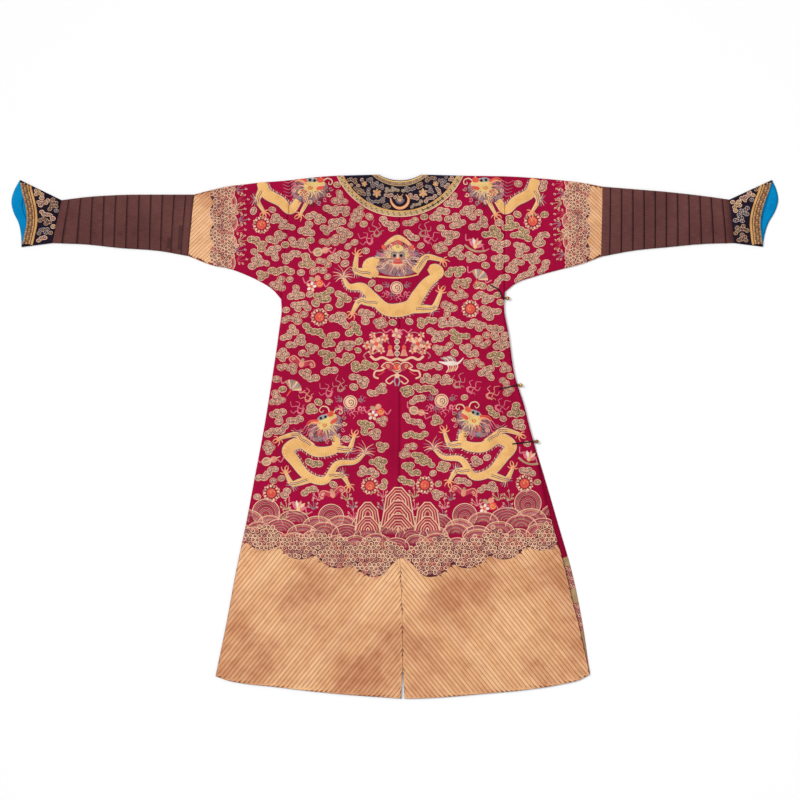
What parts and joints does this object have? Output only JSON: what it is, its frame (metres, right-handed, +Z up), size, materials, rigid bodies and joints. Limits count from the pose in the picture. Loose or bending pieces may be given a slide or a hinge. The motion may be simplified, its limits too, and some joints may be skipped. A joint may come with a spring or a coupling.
{
  "type": "chinese dragon robe",
  "caption": "Full-length silk court robe with dragon and wave embroidery, flared sleeves with horse-hoof cuffs and a round collar facing, laid flat with its back up.",
  "frame": {"origin": "middle of the laid robe's outline, on the surface it lies on", "axes": "+X from the wearer's left sleeve to the right sleeve, +Y from hem to neck, +Z up out of the robe's back"},
  "size_m": [2.0702, 1.4151, 0.0113],
  "materials": {
    "crimson_silk": "crimson silk satin, embroidered in gold and coloured silks",
    "brown_ribbed_silk": "brown ribbed silk in narrow tucks",
    "navy_satin": "midnight blue satin with gold cloud scrolls",
    "blue_lining": "bright blue silk",
    "gold_braid": "woven gold and green braid",
    "black_cord": "black silk cord",
    "gilt_metal": "aged gilt"
  },
  "bodies": {
    "root": {"left_half": "crimson_silk", "right_half": "crimson_silk", "front_overlap": "crimson_silk", "overlap_edging": "navy_satin", "collar_back_field": "navy_satin", "collar_back_neck_border": "gold_braid", "collar_back_outer_border": "gold_braid", "collar_front_field": "navy_satin", "collar_front_neck_border": "gold_braid", "collar_front_outer_border": "gold_braid", "sleeve_left": "crimson_silk", "sleeve_right": "crimson_silk", "sleeve_extension_left": "brown_ribbed_silk", "sleeve_extension_right": "brown_ribbed_silk", "cuff_left": "navy_satin", "cuff_right": "navy_satin", "cuff_lining_left": "blue_lining", "cuff_lining_right": "blue_lining", "cuff_braid_left": "gold_braid", "cuff_braid_right": "gold_braid", "loop_underarm": "black_cord", "loop_waist": "black_cord", "loop_hip": "black_cord", "button_underarm": "gilt_metal", "button_waist": "gilt_metal", "button_hip": "gilt_metal"}
  },
  "joints": []
}
